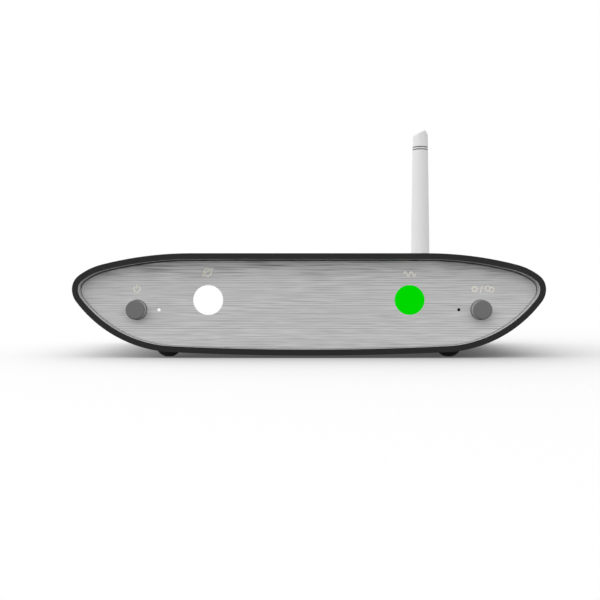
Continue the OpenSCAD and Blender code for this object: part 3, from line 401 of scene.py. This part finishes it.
def button():
    """Grey face with a fine grain, and a pale side whose colour is a painted reflection of the panel's light."""
    shader = Shader("button")
    fine = shader.noise(size=0.18)
    side = shader.calc("GREATER_THAN", shader.component(shader.normal, "Y"), SIDE_FROM)
    face = shader.tones(fine, low=0.160, high=0.180)
    # painted reflection: the side is pale grey to stand in for the panel's light that it reflects
    shader.feed("Base Color", shader.blend("MIX", side, face, 0.5))
    shader.feed("Metallic", shader.band(side, low=0.0, high=0.3, start=0.0, end=1.0))
    shader.feed("Roughness", shader.band(fine, low=0.38, high=0.46))
    shader.bump(fine, depth=0.004)
    return shader


# Finishes that have a function of their own
SPECIAL = {
    "sleeve_coat": sleeve_coat, "brushed_panel": brushed_panel, "board": board,
    "white_light": white_light, "green_light": green_light, "button": button,
}


def finish(name):
    """Material of one of the finishes, most of which are slots of the record."""
    shader = SPECIAL[name]() if name in SPECIAL else grained(name, **GRAINED[name])
    return shader.material


# Widths of the softened edges, by node
EDGES = {
    "outer_sleeve": 0.1, "front_panel": 0.05, "power_button": 0.12, "setup_button": 0.12, "rear_panel": 0.12,
    "rear_screws": 0.15, "network_shield": 0.1, "usb_shells": 0.08, "coax_barrel": 0.12, "mode_knob": 0.2,
    "power_inlet": 0.12, "antenna_lock_nut": 0.2, "antenna_coupling": 0.25, "antenna_knuckle": 0.3,
    "antenna_mast": 0.2, "network_insert": 0.1, "usb_tongues": 0.1,
}
EDGE_SEGMENTS = 2
# Points closer than this are joined
WELD_GAP = 0.001
# Bends up to SMOOTH_ANGLE are shaded as curves, edges past EDGE_ANGLE are softened, flats are joined first
SMOOTH_ANGLE = math.radians(32)
EDGE_ANGLE = math.radians(40)
FLAT_ANGLE = math.radians(0.3)
# Steel nodes with a black finish
BLACKENED = ["carrier_screws"]


def smoothing():
    """Node group that shades a mesh smooth and keeps the edges sharper than SMOOTH_ANGLE."""
    tree = bpy.data.node_groups.new("smooth_by_angle", "GeometryNodeTree")
    for way in ("INPUT", "OUTPUT"):
        tree.interface.new_socket("Geometry", in_out=way, socket_type="NodeSocketGeometry")
    start = tree.nodes.new("NodeGroupInput").outputs[0]
    faces = tree.nodes.new("GeometryNodeSetShadeSmooth")
    edges = tree.nodes.new("GeometryNodeSetShadeSmooth")
    angle = tree.nodes.new("GeometryNodeInputMeshEdgeAngle").outputs[0]
    sharp = tree.nodes.new("FunctionNodeCompare")
    faces.domain = "FACE"
    edges.domain = "EDGE"
    edges.inputs["Shade Smooth"].default_value = False
    sharp.operation = "GREATER_THAN"
    sharp.inputs["B"].default_value = SMOOTH_ANGLE
    tree.links.new(start, faces.inputs["Geometry"])
    tree.links.new(faces.outputs[0], edges.inputs["Geometry"])
    tree.links.new(angle, sharp.inputs["A"])
    tree.links.new(sharp.outputs[0], edges.inputs["Selection"])
    tree.links.new(edges.outputs[0], tree.nodes.new("NodeGroupOutput").inputs[0])
    return tree


def finish_edges(obj, width, group):
    """Joined faces, softened edges where a width is given, and smooth curves."""
    weld = obj.modifiers.new("weld", "WELD")
    weld.merge_threshold = WELD_GAP * MM
    if width:
        flat = obj.modifiers.new("flat_faces", "DECIMATE")
        flat.decimate_type = "DISSOLVE"
        flat.angle_limit = FLAT_ANGLE
        bevel = obj.modifiers.new("soft_edges", "BEVEL")
        bevel.width = width * MM
        bevel.segments = EDGE_SEGMENTS
        bevel.limit_method = "ANGLE"
        bevel.angle_limit = EDGE_ANGLE
    obj.modifiers.new("smooth", "NODES").node_group = group
    normals = obj.modifiers.new("normals", "WEIGHTED_NORMAL")
    normals.keep_sharp = True


def dress_nodes():
    """Material and edges for every CAD node, by its slot."""
    group = smoothing()
    blackened = finish("black_steel")
    for slot, names in slot_nodes.items():
        material = finish(slot)
        for name in names:
            mesh = nodes[name].data
            mesh.materials.clear()
            mesh.materials.append(blackened if name in BLACKENED else material)
            finish_edges(nodes[name], EDGES.get(name), group)


# Printed signs: strokes of ink on a flat face, drawn about their own middle
INK = 0.02
STROKE = 0.38
ARC_STEP = math.radians(12)
# A stroke whose ends are closer than this is closed
END_GAP = 1e-6


def arc(centre, radius, start, end, squash=1.0, tilt=0.0):
    """Points of an arc in degrees from the x axis; squash flattens it, tilt turns it."""
    start, end, tilt = (math.radians(angle) for angle in (start, end, tilt))
    count = max(2, math.ceil(abs(end - start) / ARC_STEP))
    points = []
    for i in range(count + 1):
        angle = start + (end - start) * i / count
        x, z = radius * math.cos(angle), radius * squash * math.sin(angle)
        points.append(Vector((
            centre[0] + x * math.cos(tilt) - z * math.sin(tilt),
            centre[1] + x * math.sin(tilt) + z * math.cos(tilt),
        )))
    return points


def stroke(mesh, points, lift):
    """Ribbon of ink along points, on the plane that lift maps to."""
    points = [Vector(point) for point in points]
    closed = (points[0] - points[-1]).length < END_GAP
    if closed:
        points.pop()
    count = len(points)
    rims = []
    for i, point in enumerate(points):
        before = points[i - 1] if closed or i else point
        after = points[(i + 1) % count] if closed or i + 1 < count else point
        along = (after - before).normalized()
        side = Vector((-along.y, along.x)) * STROKE / 2
        rims.append([mesh.verts.new(lift(point + side)), mesh.verts.new(lift(point - side))])
    for i in range(count if closed else count - 1):
        (a, b), (c, d) = rims[i], rims[(i + 1) % count]
        mesh.faces.new((a, b, d, c))


def print_sign(name, strokes, place, face_y, side, material, body="case"):
    """Sign about place, an x and z in metres, on a face at face_y.

    side is -1 for a face that looks to the front, 1 for one to the rear.
    """
    mesh = bmesh.new()
    for points in strokes:
        stroke(mesh, points, lambda p: (place[0] + p.x * MM, face_y, place[1] + p.y * MM))
    bmesh.ops.recalc_face_normals(mesh, faces=mesh.faces)
    for face in mesh.faces:
        if face.normal.y * side < 0:
            face.normal_flip()
    sign = add_object(name, mesh, material)
    solid = sign.modifiers.new("ink_depth", "SOLIDIFY")
    solid.thickness = INK * MM
    solid.offset = 1.0
    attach(sign, body)


def power_sign():
    """Open ring with a bar in its gap; gap is in degrees."""
    ring, gap = 1.05, 70
    bar = [(0, 0.25), (0, 1.4)]
    return [arc((0, 0), ring, 90 + gap / 2, 450 - gap / 2), bar]


def planet_sign():
    """Ring with an orbit that passes in front of it on one side and behind it on the other."""
    ring, reach, flat, tilt = 1.25, 2.1, 0.18, 34
    centre = (-0.2, -0.2)
    behind = math.degrees(math.acos((ring + STROKE) / reach))
    orbit = arc(centre, reach, -behind, 180 + behind, flat, tilt)
    return [arc(centre, ring, 0, 360), orbit]


def wave_sign():
    """Two periods of a sine wave."""
    half, height, steps = 2.0, 0.75, 32
    places = [half * (2 * i / steps - 1) for i in range(steps + 1)]
    return [[(x, height * math.sin(2 * math.pi * x / half)) for x in places]]


def gear_sign(x):
    """Ring with teeth round it."""
    rim, teeth, reach = 0.72, 8, 1.2
    inner = rim + STROKE / 2
    centre = Vector((x, 0))
    strokes = [arc((x, 0), rim, 0, 360)]
    for i in range(teeth):
        angle = math.radians(360 / teeth * i)
        outwards = Vector((math.cos(angle), math.sin(angle)))
        strokes.append([centre + outwards * inner, centre + outwards * reach])
    return strokes


def pair_sign(x):
    """Two linked rings, one in front of the other, whose hidden part is left out."""
    ring, shift, rise = 0.85, 0.6, 0.2
    start, end = -142, 105
    return [arc((x - shift, rise), ring, 0, 360), arc((x + shift, -rise), ring, start, end)]


def setup_sign():
    """Gear and pair of rings with a slash between them."""
    gear_x, pair_x = -2.1, 2.9
    slash = [(-0.2, -1.2), (0.5, 1.2)]
    return gear_sign(gear_x) + [slash] + pair_sign(pair_x)


# Rise of the signs above the middle of the button or light that they belong to
SIGN_RISE = {"button": 7.0, "planet": 9.5, "wave": 8.8}


def print_panel_signs(material):
    """Signs above the buttons and the round lights."""
    face_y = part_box("front_panel")[0].y
    for name, strokes, node, rise in (
        ("sign_power", power_sign(), "power_button", SIGN_RISE["button"]),
        ("sign_setup", setup_sign(), "setup_button", SIGN_RISE["button"]),
        ("sign_planet", planet_sign(), "network_light", SIGN_RISE["planet"]),
        ("sign_wave", wave_sign(), "rate_light", SIGN_RISE["wave"]),
    ):
        centre = middle(node)
        print_sign(name, strokes, (centre.x, centre.z + rise * MM), face_y, -1, material)


# Dots round the mode selector, one for each of its places: closed strokes that all but fill themselves
MODE_PLACES = 6
MODE_DOTS_R = 6.2
MODE_DOT_LOOP = 0.2


def print_mode_dots(material):
    joint = next(j for j in frame["joints"] if j["name"] == "mode_turn")
    centre = middle("mode_knob")
    step = joint["range_deg"][1] / (MODE_PLACES - 1)
    dots = []
    for i in range(MODE_PLACES):
        angle = math.radians(step * i)
        place = (-MODE_DOTS_R * math.sin(angle), MODE_DOTS_R * math.cos(angle))
        dots.append(arc(place, MODE_DOT_LOOP, 0, 360))
    print_sign("mode_dots", dots, (centre.x, centre.z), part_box("rear_panel")[1].y, 1, material)


# Pointer line on the floor of the mode knob's groove, from near the axis outwards
POINTER_DEPTH = 0.5
POINTER_LINE = [(0, 0.5), (0, 3.3)]


def print_pointer(material):
    centre = middle("mode_knob")
    floor_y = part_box("mode_knob")[1].y - POINTER_DEPTH * MM
    print_sign("mode_pointer", [POINTER_LINE], (centre.x, centre.z), floor_y, 1, material, "mode_knob")


# Dark rings in the two grooves of the mast, painted shade that stands in for the shadow deep in the grooves: drops
# below its tip, radius, depth, half height and rounding
RING_DROPS = {"groove_shade_upper": 7.75, "groove_shade_lower": 8.85}
RING_R = 3.52
RING_SINK = 0.2
RING_HALF = 0.215
RING_ROUND = 0.05
RING_STEPS = 64


def groove_shade_ring(name, centre, material):
    """Band with rounded edges, turned about an upright axis through centre."""
    mesh = bmesh.new()
    inner = RING_R - RING_SINK
    edge = RING_R - RING_ROUND
    flat = RING_HALF - RING_ROUND
    section = [
        (inner, -RING_HALF), (edge, -RING_HALF), (RING_R, -flat),
        (RING_R, flat), (edge, RING_HALF), (inner, RING_HALF),
    ]
    loops = []
    for i in range(RING_STEPS):
        angle = 2 * math.pi * i / RING_STEPS
        across = Vector((math.cos(angle), math.sin(angle), 0))
        loops.append([mesh.verts.new(centre + (across * r + Vector((0, 0, z))) * MM) for r, z in section])
    count = len(section)
    for i in range(RING_STEPS):
        this, following = loops[i - 1], loops[i]
        for j in range(count):
            mesh.faces.new((this[j - 1], following[j - 1], following[j], this[j]))
    bmesh.ops.recalc_face_normals(mesh, faces=mesh.faces)
    ring = add_object(name, mesh, material)
    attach(ring, "antenna_mast")


def paint_groove_shade():
    material = finish("groove_shade_grey")
    axis = middle("antenna_mast")
    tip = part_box("antenna_mast")[1].z
    for name, drop in RING_DROPS.items():
        groove_shade_ring(name, Vector((axis.x, axis.y, tip - drop * MM)), material)


# Stage: white floor, and white surroundings that give more light from the left than from the right
LIGHT_LEFT = 1.66
LIGHT_RIGHT = 0.90
# Floor: half its side in metres, the parts it is divided into, and the light that it gives back
FLOOR_HALF = 4.0
FLOOR_STEPS = 8
FLOOR_BOUNCE = 0.05
# Shade on the floor: the open share of the sky, which leans to the left, within a reach in metres
SHADE_LEAN = (-0.29, 0.0, 0.957)
SHADE_REACH = 0.6
SHADE_SAMPLES = 16
# Tone of the floor for each open share
SHADE_TONES = ((0.0, 0.06), (0.2, 0.2), (1.0, 1.0))


def seen_ray(tree):
    """1 for rays from the camera, from reflections and through glass, otherwise 0."""
    path = tree.nodes.new("ShaderNodeLightPath")
    total = path.outputs["Is Camera Ray"]
    for name in ("Is Glossy Ray", "Is Transmission Ray"):
        joined = tree.nodes.new("ShaderNodeMath")
        joined.operation = "MAXIMUM"
        tree.links.new(total, joined.inputs[0])
        tree.links.new(path.outputs[name], joined.inputs[1])
        total = joined.outputs[0]
    return total


def add_world():
    """Soft light all round; rays that are seen meet plain white."""
    world = bpy.data.worlds.new("studio")
    world.use_nodes = True
    bpy.context.scene.world = world
    tree = world.node_tree
    background = tree.nodes["Background"]
    background.inputs["Color"].default_value = (1, 1, 1, 1)
    split = tree.nodes.new("ShaderNodeSeparateXYZ")
    tree.links.new(tree.nodes.new("ShaderNodeTexCoord").outputs["Generated"], split.inputs[0])
    light = tree.nodes.new("ShaderNodeMapRange")
    for name, value in (("From Min", -1), ("From Max", 1), ("To Min", LIGHT_LEFT), ("To Max", LIGHT_RIGHT)):
        light.inputs[name].default_value = value
    tree.links.new(split.outputs["X"], light.inputs["Value"])
    strength = tree.nodes.new("ShaderNodeMix")
    strength.inputs["B"].default_value = 1.0
    tree.links.new(seen_ray(tree), strength.inputs["Factor"])
    tree.links.new(light.outputs["Result"], strength.inputs["A"])
    tree.links.new(strength.outputs["Result"], background.inputs["Strength"])


def floor_paper():
    """White paper that is seen with the object's soft shade on it, and gives little light back."""
    shader = Shader("floor_paper")
    seen = seen_ray(shader.tree)
    lean = shader.add("ShaderNodeCombineXYZ", dict(zip("XYZ", SHADE_LEAN))).outputs[0]
    inputs = {"Distance": SHADE_REACH, "Normal": lean}
    sky = shader.add("ShaderNodeAmbientOcclusion", inputs, samples=SHADE_SAMPLES).outputs["AO"]
    shader.feed("Base Color", shader.blend("MIX", seen, FLOOR_BOUNCE, 0.0))
    shader.feed("Emission Color", shader.ramp(sky, *SHADE_TONES))
    shader.feed("Emission Strength", seen)
    shader.set(roughness=0.9, specular=0.0)
    return shader


def add_floor():
    mesh = bmesh.new()
    bmesh.ops.create_grid(mesh, x_segments=FLOOR_STEPS, y_segments=FLOOR_STEPS, size=FLOOR_HALF)
    floor = add_object("floor", mesh, floor_paper().material)


add_camera()
dress_nodes()
ink_material = finish("ink")
print_panel_signs(ink_material)
print_mode_dots(ink_material)
print_pointer(ink_material)
paint_groove_shade()
add_world()
add_floor()
bpy.context.scene.view_settings.view_transform = "Standard"
